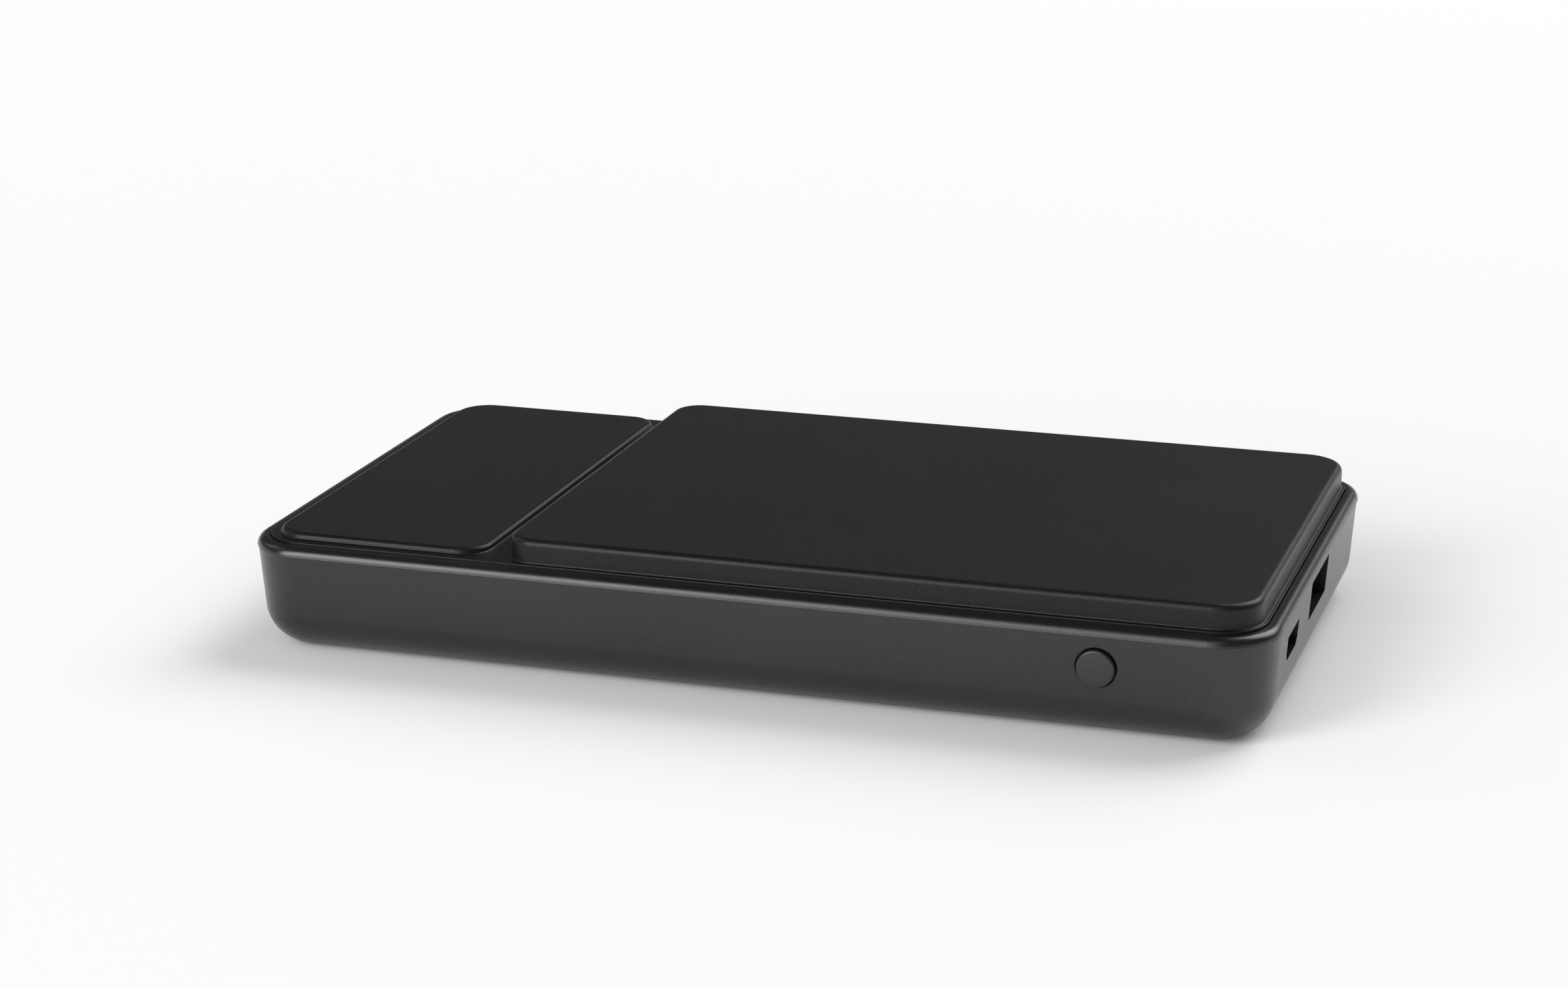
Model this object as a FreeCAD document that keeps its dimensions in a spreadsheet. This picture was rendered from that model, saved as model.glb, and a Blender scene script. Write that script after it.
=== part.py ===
import FreeCAD, Part
import os
import Sketcher
from FreeCAD import Rotation, Vector

# A solar power bank with a wireless-charging platform: a moulded pan closed by a rim and a lid, with two
# battery cells, a circuit board, a charging coil and, in the underside, a solar panel. Millimetres, +Z up.
# The origin is the middle of the underside, +X points to the end with the ports, -Y to the push button.

doc = FreeCAD.newDocument("solar_power_bank")

# Driving dimensions: name, value in millimetres or degrees, meaning
sizes = [
    ("length", 140.4, "over the end walls at the parting line"),
    ("width", 75.6, "over the front and back walls at the parting line"),
    ("shell_height", 13.9, "underside to the parting line"),
    ("corner_round", 8.0, "upright corners at the parting line"),
    ("wall_draft", 4.3, "lean of the walls, narrower towards the underside"),
    ("bottom_round", 5.8, "bottom edge"),
    ("shell_wall", 2.0, "thickness of the walls"),
    ("floor_wall", 1.4, "floor above the solar panel"),
    ("floor_round", 2.4, "inside corner between the floor and the walls"),
    ("rim_height", 1.3, "rim above the parting line"),
    ("rim_width", 1.6, "rim, from the wall to its inner edge"),
    ("rim_lean", 12.0, "lean of the rim's outside, narrower towards its top"),
    ("rim_round", 1.2, "round top edge of the rim"),
    ("rim_overhang", 0.16, "rim beyond the wall below it"),
    ("rim_crease", 0.06, "round lower edge of the rim, at the parting line"),
    ("frame_web", 0.5, "web of the frame that carries the lid"),
    ("skirt_depth", 2.2, "skirt of the frame inside the pan"),
    ("skirt_reach", 5.0, "from the wall's outside to the skirt's inner edge"),
    ("fit_gap", 0.15, "clearance between parts that drop into each other"),
    ("tape", 0.15, "double-sided tape"),
    ("lid_step", 0.3, "deck of the lid above the rim"),
    ("lid_wall", 1.5, "walls and top of the lid's platforms"),
    ("platform_rise", 3.3, "charging platform above the deck"),
    ("platform_margin", 0.5, "deck outside the charging platform"),
    ("platform_start", 37.7, "left end of the bank to the charging platform"),
    ("platform_corner", 4.0, "upright corners at the valley between the platforms"),
    ("platform_edge", 0.9, "round top edge of the charging platform"),
    ("low_rise", 0.85, "low platform above the deck"),
    ("low_margin", 1.45, "deck outside the low platform"),
    ("low_edge", 0.7, "round top edge of the low platform"),
    ("valley", 3.5, "gap between the two platforms"),
    ("deck_edge", 0.12, "round top edge of the deck"),
    ("foot_round", 0.25, "inside corner at the foot of the platforms"),
    ("button_from_end", 22.0, "right end to the button's axis"),
    ("button_size", 5.0, "diameter of the button's cap"),
    ("button_ring", 0.25, "gap round the button's cap"),
    ("button_proud", 0.85, "button above the wall at rest"),
    ("button_dome", 20.0, "radius of the button's domed face"),
    ("button_flat", 0.6, "diameter of the flat in the middle of the button's face"),
    ("button_edge", 0.3, "round edge of the button's face"),
    ("button_flange", 6.4, "diameter of the flange that keeps the button in"),
    ("button_flange_thick", 0.8, "thickness of that flange"),
    ("button_seat_wall", 1.4, "wall left in front of the flange"),
    ("button_stem", 2.4, "diameter of the stem that meets the switch"),
    ("button_stem_length", 0.9, "stem behind the flange"),
    ("button_travel", 0.35, "how far the button goes in"),
    ("switch_length", 6.0, "switch along the wall"),
    ("switch_depth", 3.6, "switch from front to back"),
    ("switch_axis_rise", 1.3, "plunger's axis above the board"),
    ("plunger_width", 2.6, "plunger along the wall"),
    ("plunger_height", 1.3, "plunger, up and down"),
    ("plunger_length", 2.0, "plunger from front to back"),
    ("plunger_reach", 1.0, "plunger in front of the switch at rest"),
    ("port_drop", 4.18, "middle of the input port below the parting line"),
    ("input_from_middle", 19.8, "input port's middle in front of the bank's middle"),
    ("input_hole_wide", 8.15, "input port's opening in the wall"),
    ("input_hole_high", 3.4, "input port's opening in the wall"),
    ("input_hole_cut", 0.9, "cut lower corners of that opening"),
    ("input_wide", 7.5, "input connector outside"),
    ("input_high", 2.5, "input connector outside"),
    ("input_deep", 5.0, "input connector from front to back"),
    ("input_cut", 0.7, "cut lower corners of the input connector"),
    ("output_axis_rise", 0.93, "output port's middle above the input port's"),
    ("output_hole_wide", 13.4, "output port's opening in the wall"),
    ("output_hole_high", 5.3, "output port's opening in the wall"),
    ("output_wide", 13.1, "output connector outside"),
    ("output_high", 5.7, "output connector outside"),
    ("output_deep", 13.5, "output connector from front to back"),
    ("output_ear", 1.4, "soldered ears of the output connector on the board"),
    ("connector_sheet", 0.3, "metal of the connectors"),
    ("tongue_setback", 0.8, "tongue behind the connector's mouth"),
    ("output_tongue_thick", 1.8, "tongue of the output connector"),
    ("input_tongue_thick", 0.6, "tongue of the input connector"),
    ("contact_thick", 0.15, "contact strips on the tongues"),
    ("board_thick", 1.2, "main board and protection board"),
    ("board_reach", 30.8, "main board from its right edge to its left edge"),
    ("board_margin", 1.4, "main board from the inside of the pan"),
    ("inductor_size", 7.0, "converter coil on the board, both ways"),
    ("inductor_height", 3.4, "converter coil on the board"),
    ("chip_size", 5.0, "chips on the board"),
    ("chip_thick", 0.9, "chips on the board"),
    ("capacitor_length", 3.2, "capacitors on the board"),
    ("capacitor_size", 1.6, "capacitors on the board, width and height"),
    ("post_size", 4.6, "posts under the main board"),
    ("board_screw", 1.5, "shank of the main board's screws"),
    ("case_screw", 2.0, "shank of the case screws"),
    ("case_screw_length", 8.0, "case screws under the head"),
    ("screw_head", 3.6, "heads of the case screws"),
    ("screw_head_thick", 1.0, "heads of the case screws"),
    ("screw_inset", 6.75, "case screws from the outside walls"),
    ("boss_size", 5.0, "bosses for the case screws"),
    ("ear_size", 8.0, "ears of the frame round the case screws"),
    ("cell_end_room", 0.6, "battery cells from the ears of the frame at the left end"),
    ("cell_side_room", 1.7, "battery cells from the skirt of the frame at the sides"),
    ("cell_thick", 9.0, "battery cell"),
    ("cell_round", 2.2, "edges of the battery cells"),
    ("cell_gap", 1.0, "gap between the battery cells"),
    ("cell_seal", 3.6, "sealed edge at the cells' right end"),
    ("cell_seal_thick", 0.4, "sealed edge at the cells' right end"),
    ("pad_thick", 0.5, "foam pads under the cells"),
    ("pad_margin", 6.0, "foam pads in from the cells' edges"),
    ("sheet_thick", 0.2, "insulation sheet on the cells"),
    ("fence_thick", 1.2, "ribs that hold the cells"),
    ("fence_height", 3.0, "ribs that hold the cells, above the floor"),
    ("coil_outer", 46.0, "charging coil"),
    ("coil_inner", 21.0, "charging coil"),
    ("coil_thick", 1.3, "charging coil"),
    ("ferrite_size", 50.0, "shield behind the coil"),
    ("ferrite_thick", 0.8, "shield behind the coil"),
    ("lead_size", 0.9, "insulated wires"),
    ("lead_spacing", 5.0, "between the two wires of a pair"),
    ("lead_bend", 1.6, "bend of the coil's wires"),
    ("panel_end_margin", 11.2, "solar panel from the end walls"),
    ("panel_side_margin", 9.8, "solar panel from the front and back walls"),
    ("panel_corner", 2.0, "corners of the solar panel"),
    ("panel_recess", 1.8, "recess for the solar panel in the underside"),
    ("panel_sunk", 0.1, "panel's face above the surface that the bank lies on"),
    ("panel_cover", 0.5, "clear cover of the panel"),
    ("panel_cell_thick", 0.2, "solar cells"),
    ("panel_cell_count", 12, "strips of solar cell in a row"),
    ("panel_cell_gap", 0.5, "between the strips"),
    ("panel_border", 1.6, "panel's edge outside the cells"),
    ("panel_tape_width", 3.0, "tape round the panel's back"),
]
sheet = doc.addObject("Spreadsheet::Sheet", "dims")
for row, (alias, size, meaning) in enumerate(sizes, start=1):
    sheet.set(f"A{row}", alias)
    sheet.set(f"B{row}", str(size))
    sheet.setAlias(f"B{row}", alias)
    sheet.set(f"C{row}", meaning)
doc.recompute()

# Levels and places that follow from the driving dimensions, as expressions
lean = "tan(dims.wall_draft * 1 deg)"
half_length = "dims.length / 2"
half_width = "dims.width / 2"
floor_top = "(dims.panel_recess + dims.floor_wall)"
rim_top = "(dims.shell_height + dims.rim_height)"
deck_top = f"({rim_top} + dims.lid_step)"
platform_top = f"({deck_top} + dims.platform_rise)"
low_top = f"({deck_top} + dims.low_rise)"
web_top = "(dims.shell_height + dims.frame_web)"
skirt_bottom = "(dims.shell_height - dims.skirt_depth)"
lid_bottom = f"({web_top} + dims.tape)"
lid_inset = "(dims.rim_width + dims.fit_gap)"
platform_inset = f"({lid_inset} + dims.platform_margin)"
low_inset = f"({lid_inset} + dims.low_margin)"
skirt_inset = "(dims.shell_wall + dims.fit_gap)"
coil_ceiling = f"({platform_top} - dims.lid_wall)"
port_axis = "(dims.shell_height - dims.port_drop)"
board_top = f"({port_axis} - dims.input_high / 2)"
board_bottom = f"({board_top} - dims.board_thick)"
end_inside = f"({half_length} - (dims.shell_height - {board_bottom}) * {lean} - dims.shell_wall)"
front_inside = f"({half_width} - (dims.shell_height - {board_bottom}) * {lean} - dims.shell_wall)"
port_front = f"({end_inside} - dims.fit_gap)"
board_right = f"({end_inside} - dims.board_margin)"
board_left = f"({board_right} - dims.board_reach)"
board_front = f"({front_inside} - dims.board_margin)"
output_axis = f"({port_axis} + dims.output_axis_rise)"
button_x = f"({half_length} - dims.button_from_end)"
button_z = f"({board_top} + dims.switch_axis_rise)"
button_wall = f"(-{half_width} + (dims.shell_height - {button_z}) * {lean})"
button_seat = f"({button_wall} + dims.button_flange / 2 * {lean} + dims.button_seat_wall)"
stem_back = f"({button_seat} + dims.button_flange_thick + dims.button_stem_length)"
switch_front = f"({stem_back} + dims.plunger_reach)"
screw_x = f"({half_length} - dims.screw_inset)"
screw_y = f"({half_width} - dims.screw_inset)"
pad_top = f"({floor_top} + dims.pad_thick)"
cell_top = f"({pad_top} + dims.cell_thick)"
cell_right = f"({board_left} - dims.cell_seal - dims.fit_gap * 4)"
cell_left = f"(dims.ear_size / 2 + dims.cell_end_room - {screw_x})"
cell_width = f"({half_width} - dims.skirt_reach - dims.cell_side_room - dims.cell_gap / 2)"
panel_length = "(dims.length - 2 * dims.panel_end_margin)"
panel_width = "(dims.width - 2 * dims.panel_side_margin)"
platform_left = f"(-{half_length} + dims.platform_start)"
platform_right = f"({half_length} - {platform_inset})"
coil_x = f"(({platform_left} + {platform_right}) / 2)"
panel_tape_bottom = "(dims.panel_recess - dims.tape)"
panel_board_bottom = "(dims.panel_sunk + dims.panel_cover + dims.panel_cell_thick)"


def value(expression):
    """The number that an expression of the sheet's cells stands for."""
    result = sheet.evalExpression(expression)
    return float(getattr(result, "Value", result))


def bind(item, **properties):
    """Ties properties of an object to expressions; two underscores stand for a dot."""
    for name, expression in properties.items():
        item.setExpression(name.replace("__", "."), expression)


def put(item, x="0", y="0", z="0"):
    """Ties an object's place to expressions."""
    bind(item, Placement__Base__x=x, Placement__Base__y=y, Placement__Base__z=z)


def box(name, x, y, z):
    """A block between pairs of expressions: low and high x, y and z."""
    item = doc.addObject("Part::Box", name)
    bind(item, Length=f"{x[1]} - {x[0]}", Width=f"{y[1]} - {y[0]}", Height=f"{z[1]} - {z[0]}")
    put(item, x[0], y[0], z[0])
    return item


def cylinder(name, diameter, x, y, z, height, along=Vector(0, 0, 1)):
    """A rod of a diameter and height, from a place, along a direction."""
    item = doc.addObject("Part::Cylinder", name)
    bind(item, Radius=f"{diameter} / 2", Height=height)
    item.Placement.Rotation = Rotation(Vector(0, 0, 1), along)
    put(item, x, y, z)
    return item


def joined(name, items):
    """Several solids made one."""
    item = doc.addObject("Part::MultiFuse", name)
    item.Shapes = items
    item.Refine = True
    return item


def less(name, base, tools):
    """A solid with others cut out of it."""
    item = doc.addObject("Part::Cut", name)
    item.Base = base
    item.Tool = tools[0] if len(tools) == 1 else joined(f"{name}_tools", tools)
    item.Refine = True
    return item


def group(name, items):
    """Like solids that share one node."""
    item = doc.addObject("Part::Compound", name)
    item.Links = items
    return item


def rounded(name, base, radius, chosen):
    """A solid with the chosen edges rounded; chosen tells by an edge's middle."""
    doc.recompute()
    item = doc.addObject("Part::Fillet", name)
    item.Base = base
    size = value(radius)
    edges = enumerate(base.Shape.Edges, start=1)
    item.Edges = [(number, size, size) for number, edge in edges if chosen(edge.BoundBox.Center)]
    return item


def new_body(name):
    """An empty body for sketched features."""
    return doc.addObject("PartDesign::Body", name)


def sketch_on(body, name, role, offset="0", x="0", y="0"):
    """A sketch on one of the body's origin planes, moved off it and along it by expressions."""
    plane = next(item for item in body.Origin.OriginFeatures if item.Role == role)
    sketch = body.newObject("Sketcher::SketchObject", name)
    sketch.AttachmentSupport = (plane, [""])
    sketch.MapMode = "FlatFace"
    bind(sketch, AttachmentOffset__Base__x=x, AttachmentOffset__Base__y=y, AttachmentOffset__Base__z=offset)
    return sketch


def hold(sketch, kind, first, second, expression):
    """A distance between two sketch points, tied to an expression."""
    size = value(expression)
    if size < 0:
        first, second, expression = second, first, f"-({expression})"
    number = sketch.addConstraint(Sketcher.Constraint(kind, *first, *second, abs(size)))
    sketch.setExpression(f"Constraints[{number}]", expression)


def draw_round_box(sketch, length, width, corner, right_corner=None):
    """A rectangle round the sketch's origin, with round corners that may differ at its right end."""
    right_corner = right_corner or corner
    a, b, r, s = (value(text) for text in (f"({length}) / 2", f"({width}) / 2", corner, right_corner))
    points = [(r - a, -b), (a - s, -b), (a, s - b), (a, b - s)]
    points += [(a - s, b), (r - a, b), (-a, b - r), (-a, r - b)]
    centres = [(a - s, s - b), (a - s, b - s), (r - a, b - r), (r - a, r - b)]
    quarter = FreeCAD.Units.Quantity("90 deg").getValueAs("rad").Value
    first = sketch.GeometryCount
    for side in range(4):
        start = Vector(*points[2 * side], 0)
        end = Vector(*points[2 * side + 1], 0)
        sketch.addGeometry(Part.LineSegment(start, end), False)
        circle = Part.Circle(Vector(*centres[side], 0), Vector(0, 0, 1), s if side < 2 else r)
        sketch.addGeometry(Part.ArcOfCircle(circle, (side - 1) * quarter, side * quarter), False)
    line = [first + 2 * side for side in range(4)]
    arc = [number + 1 for number in line]
    for side in range(4):
        sketch.addConstraint(Sketcher.Constraint("Tangent", line[side], 2, arc[side], 1))
        sketch.addConstraint(Sketcher.Constraint("Tangent", arc[side], 2, line[(side + 1) % 4], 1))
        sketch.addConstraint(Sketcher.Constraint("Vertical" if side % 2 else "Horizontal", line[side]))
    sketch.addConstraint(Sketcher.Constraint("Equal", arc[0], arc[1]))
    sketch.addConstraint(Sketcher.Constraint("Equal", arc[2], arc[3]))
    for number, size in ((arc[0], right_corner), (arc[2], corner)):
        radius = sketch.addConstraint(Sketcher.Constraint("Radius", number, value(size)))
        sketch.setExpression(f"Constraints[{radius}]", size)
    origin = (-1, 1)
    hold(sketch, "DistanceY", (line[0], 1), origin, f"({width}) / 2")
    hold(sketch, "DistanceX", origin, (line[1], 1), f"({length}) / 2")
    hold(sketch, "DistanceY", origin, (line[2], 1), f"({width}) / 2")
    hold(sketch, "DistanceX", (line[3], 1), origin, f"({length}) / 2")


def draw_polygon(sketch, corners):
    """A closed outline through corners given as pairs of expressions."""
    points = [Vector(value(x), value(y), 0) for x, y in corners]
    first = sketch.GeometryCount
    count = len(points)
    for number, point in enumerate(points):
        sketch.addGeometry(Part.LineSegment(point, points[(number + 1) % count]), False)
    for number, (x, y) in enumerate(corners):
        following = first + (number + 1) % count
        sketch.addConstraint(Sketcher.Constraint("Coincident", first + number, 2, following, 1))
        hold(sketch, "DistanceX", (-1, 1), (first + number, 1), x)
        hold(sketch, "DistanceY", (-1, 1), (first + number, 1), y)


def draw_circles(sketch, diameter, centres):
    """Circles of one diameter round centres given as pairs of expressions."""
    for x, y in centres:
        middle = Vector(value(x), value(y), 0)
        number = sketch.addGeometry(Part.Circle(middle, Vector(0, 0, 1), value(diameter) / 2), False)
        size = sketch.addConstraint(Sketcher.Constraint("Diameter", number, value(diameter)))
        sketch.setExpression(f"Constraints[{size}]", diameter)
        hold(sketch, "DistanceX", (-1, 1), (number, 3), x)
        hold(sketch, "DistanceY", (-1, 1), (number, 3), y)


def feature(body, kind, sketch, length, backwards=False, taper="0"):
    """A pad or pocket of a sketch, tied to a length and, for leaning walls, a taper."""
    item = body.newObject(f"PartDesign::{kind}", f"{sketch.Name}_{kind.lower()}")
    item.Profile = sketch
    item.Reversed = backwards
    bind(item, Length=length, TaperAngle=taper)
    doc.recompute()
    return item


def round_edges(body, base, radius, chosen):
    """A fillet on those edges of a feature that chosen picks by an edge's box."""
    doc.recompute()
    edges = enumerate(base.Shape.Edges, start=1)
    item = body.newObject("PartDesign::Fillet", f"{base.Name}_round")
    item.Base = (base, [f"Edge{number}" for number, edge in edges if chosen(edge.BoundBox)])
    bind(item, Radius=radius)
    doc.recompute()
    return item


def level(expression):
    """A test for edges that lie flat at a height."""
    height = value(expression)
    return lambda box: abs(box.ZMin - height) < 0.01 and abs(box.ZMax - height) < 0.01


corner_screws = [(f"{a} * {screw_x}", f"{b} * {screw_y}") for a in (-1, 1) for b in (-1, 1)]

# Lower shell: a moulded pan with leaning walls and a round bottom edge, a recess for the solar panel in its
# underside, screw bosses, posts for the board, ribs for the cells, and holes for the button and the ports
shell = new_body("lower_shell")
outline = sketch_on(shell, "shell_outline", "XY_Plane", "dims.shell_height")
draw_round_box(outline, "dims.length", "dims.width", "dims.corner_round")
block = feature(shell, "Pad", outline, "dims.shell_height", backwards=True, taper="-dims.wall_draft")
round_edges(shell, block, "dims.bottom_round", level("0"))
inside = sketch_on(shell, "shell_inside", "XY_Plane", "dims.shell_height")
draw_round_box(inside, "dims.length - 2 * dims.shell_wall", "dims.width - 2 * dims.shell_wall",
               "dims.corner_round - dims.shell_wall")
hollow = feature(shell, "Pocket", inside, f"dims.shell_height - {floor_top}", taper="-dims.wall_draft")
round_edges(shell, hollow, "dims.floor_round", level(floor_top))
recess = sketch_on(shell, "panel_recess", "XY_Plane")
draw_round_box(recess, f"{panel_length} + 2 * dims.fit_gap", f"{panel_width} + 2 * dims.fit_gap",
               "dims.panel_corner + dims.fit_gap")
feature(shell, "Pocket", recess, "dims.panel_recess", backwards=True)

bosses = sketch_on(shell, "screw_bosses", "XY_Plane", f"{floor_top} - dims.floor_wall / 2")
draw_circles(bosses, "dims.boss_size", corner_screws)
feature(shell, "Pad", bosses, f"{skirt_bottom} - {floor_top} + dims.floor_wall / 2")
boss_holes = sketch_on(shell, "screw_boss_holes", "XY_Plane", skirt_bottom)
draw_circles(boss_holes, "dims.case_screw + dims.fit_gap", corner_screws)
feature(shell, "Pocket", boss_holes, "dims.case_screw_length")

post_left = f"({board_left} + dims.post_size)"
post_right = f"({board_right} - dims.boss_size - dims.post_size * 1.5)"
post_side = f"({board_front} - dims.post_size)"
posts = [(x, f"{side} * {post_side}") for x in (post_left, post_right) for side in (-1, 1)]
post_sketch = sketch_on(shell, "board_posts", "XY_Plane", f"{floor_top} - dims.floor_wall / 2")
draw_circles(post_sketch, "dims.post_size", posts)
feature(shell, "Pad", post_sketch, f"{board_bottom} - {floor_top} + dims.floor_wall / 2")
post_holes = sketch_on(shell, "board_post_holes", "XY_Plane", board_bottom)
draw_circles(post_holes, "dims.board_screw + dims.fit_gap", posts)
feature(shell, "Pocket", post_holes, f"{board_bottom} - {floor_top}")

cell_side = f"(dims.cell_gap / 2 + {cell_width} + dims.fit_gap)"
fence_side = f"({cell_side} + dims.fence_thick)"
fence_end = f"({cell_left} - dims.fit_gap)"
fences = sketch_on(shell, "cell_fences", "XY_Plane", f"{floor_top} - dims.floor_wall / 2")
fence_back = f"({fence_end} - dims.fence_thick)"
draw_polygon(fences, [(fence_back, f"-{cell_width} / 2"), (fence_end, f"-{cell_width} / 2"),
                      (fence_end, f"{cell_width} / 2"), (fence_back, f"{cell_width} / 2")])
for side in ("-1", "1"):
    near, far = f"{side} * {cell_side}", f"{side} * {fence_side}"
    ends = f"({cell_left} + {cell_width})", f"({cell_right} - {cell_width})"
    draw_polygon(fences, [(ends[0], near), (ends[1], near), (ends[1], far), (ends[0], far)])
feature(shell, "Pad", fences, "dims.fence_height + dims.floor_wall / 2")

lead_x = f"({board_left} + dims.post_size + dims.lead_spacing)"
lead_places = [(lead_x, f"{side} * dims.lead_spacing / 2") for side in (-1, 1)]
lead_holes = sketch_on(shell, "panel_lead_holes", "XY_Plane", floor_top)
draw_circles(lead_holes, "dims.lead_size * 2", lead_places)
feature(shell, "Pocket", lead_holes, "dims.floor_wall * 2")

through_wall = "dims.shell_wall * 2"
input_y = "-dims.input_from_middle"
past_end = f"{half_length} + dims.shell_wall / 2"
input_hole = sketch_on(shell, "input_hole", "YZ_Plane", past_end, x=input_y, y=port_axis)
a, b = "dims.input_hole_wide / 2", "dims.input_hole_high / 2"
draw_polygon(input_hole, [(f"-{a} + dims.input_hole_cut", f"-{b}"), (f"{a} - dims.input_hole_cut", f"-{b}"),
                          (a, f"-{b} + dims.input_hole_cut"), (a, b), (f"-{a}", b),
                          (f"-{a}", f"-{b} + dims.input_hole_cut")])
feature(shell, "Pocket", input_hole, through_wall)
output_hole = sketch_on(shell, "output_hole", "YZ_Plane", past_end, y=output_axis)
draw_round_box(output_hole, "dims.output_hole_wide", "dims.output_hole_high", "dims.connector_sheet")
feature(shell, "Pocket", output_hole, through_wall)
past_front = f"{half_width} + dims.shell_wall / 2"
button_hole = sketch_on(shell, "button_hole", "XZ_Plane", past_front, x=button_x, y=button_z)
draw_circles(button_hole, "dims.button_size + 2 * dims.button_ring", [("0", "0")])
feature(shell, "Pocket", button_hole, through_wall)
button_spot = sketch_on(shell, "button_seat", "XZ_Plane", f"-{button_seat}", x=button_x, y=button_z)
draw_circles(button_spot, "dims.button_flange + 2 * dims.fit_gap", [("0", "0")])
feature(shell, "Pocket", button_spot, "dims.shell_wall")

# Top frame: a rim with a round edge, a web that carries the lid and a skirt that drops into the pan, with
# ears for the case screws and notches for the output connector and the button
frame = new_body("top_frame")
rim = sketch_on(frame, "rim_outline", "XY_Plane", "dims.shell_height")
draw_round_box(rim, "dims.length + 2 * dims.rim_overhang", "dims.width + 2 * dims.rim_overhang",
               "dims.corner_round + dims.rim_overhang")
ring = feature(frame, "Pad", rim, "dims.rim_height", taper="-dims.rim_lean")
ring = round_edges(frame, ring, "dims.rim_round", level(rim_top))
round_edges(frame, ring, "dims.rim_crease", level("dims.shell_height"))
seat = sketch_on(frame, "lid_seat", "XY_Plane", rim_top)
draw_round_box(seat, "dims.length - 2 * dims.rim_width", "dims.width - 2 * dims.rim_width",
               "dims.corner_round - dims.rim_width")
feature(frame, "Pocket", seat, "dims.rim_height - dims.frame_web")
skirt = sketch_on(frame, "skirt_outline", "XY_Plane", "dims.shell_height")
skirt_narrower = f"2 * ({skirt_inset} + dims.skirt_depth * {lean})"
draw_round_box(skirt, f"dims.length - {skirt_narrower}", f"dims.width - {skirt_narrower}",
               f"dims.corner_round - {skirt_inset}")
feature(frame, "Pad", skirt, "dims.skirt_depth", backwards=True)
opening = sketch_on(frame, "frame_opening", "XY_Plane", web_top)
draw_round_box(opening, "dims.length - 2 * dims.skirt_reach", "dims.width - 2 * dims.skirt_reach",
               "dims.corner_round - dims.skirt_reach")
feature(frame, "Pocket", opening, "dims.frame_web + dims.skirt_depth")
ears = sketch_on(frame, "screw_ears", "XY_Plane", web_top)
draw_circles(ears, "dims.ear_size", corner_screws)
feature(frame, "Pad", ears, "dims.frame_web + dims.skirt_depth", backwards=True)
ear_holes = sketch_on(frame, "screw_ear_holes", "XY_Plane", web_top)
draw_circles(ear_holes, "dims.case_screw + dims.fit_gap", corner_screws)
feature(frame, "Pocket", ear_holes, "dims.frame_web + dims.skirt_depth")
head_seats = sketch_on(frame, "screw_head_seats", "XY_Plane", web_top)
draw_circles(head_seats, "dims.screw_head + 2 * dims.fit_gap", corner_screws)
feature(frame, "Pocket", head_seats, "dims.screw_head_thick + dims.fit_gap")
notches = sketch_on(frame, "frame_notches", "XY_Plane", "dims.shell_height")
a, b = "(dims.output_wide / 2 + 2 * dims.fit_gap)", f"{half_length} - {skirt_inset} - dims.skirt_reach"
draw_polygon(notches, [(b, f"-{a}"), (half_length, f"-{a}"), (half_length, a), (b, a)])
a, b = "(dims.button_flange / 2 + 2 * dims.fit_gap)", f"-{half_width} + {skirt_inset} + dims.skirt_reach"
draw_polygon(notches, [(f"{button_x} - {a}", f"-{half_width}"), (f"{button_x} + {a}", f"-{half_width}"),
                       (f"{button_x} + {a}", b), (f"{button_x} - {a}", b)])
feature(frame, "Pocket", notches, "dims.skirt_depth")

# Charging lid: a deck inside the rim with a tall charging platform and a low platform, hollow below
lid = new_body("charging_lid")
deck = sketch_on(lid, "deck_outline", "XY_Plane", lid_bottom)
draw_round_box(deck, f"dims.length - 2 * {lid_inset}", f"dims.width - 2 * {lid_inset}",
               f"dims.corner_round - {lid_inset}")
feature(lid, "Pad", deck, f"{deck_top} - {lid_bottom}")
tall = sketch_on(lid, "platform_outline", "XY_Plane", deck_top, x=coil_x)
draw_round_box(tall, f"{platform_right} - {platform_left}", f"dims.width - 2 * {platform_inset}",
               "dims.platform_corner", f"dims.corner_round - {platform_inset}")
feature(lid, "Pad", tall, "dims.platform_rise")
low_left = f"(-{half_length} + {low_inset})"
low_right = f"({platform_left} - dims.valley)"
low = sketch_on(lid, "low_outline", "XY_Plane", deck_top, x=f"({low_left} + {low_right}) / 2")
draw_round_box(low, f"{low_right} - {low_left}", f"dims.width - 2 * {low_inset}",
               f"dims.corner_round - {low_inset}", "dims.platform_corner")
solid = feature(lid, "Pad", low, "dims.low_rise")
solid = round_edges(lid, solid, "dims.platform_edge", level(platform_top))
solid = round_edges(lid, solid, "dims.low_edge", level(low_top))
on_deck = level(deck_top)
deck_x = value(half_length) - value(lid_inset) - 0.05
deck_y = value(half_width) - value(lid_inset) - 0.05


def at_foot(box):
    """Tells an edge at a platform's foot from the deck's own outer edge, by its box."""
    return -deck_x < box.XMin and box.XMax < deck_x and -deck_y < box.YMin and box.YMax < deck_y


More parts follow.
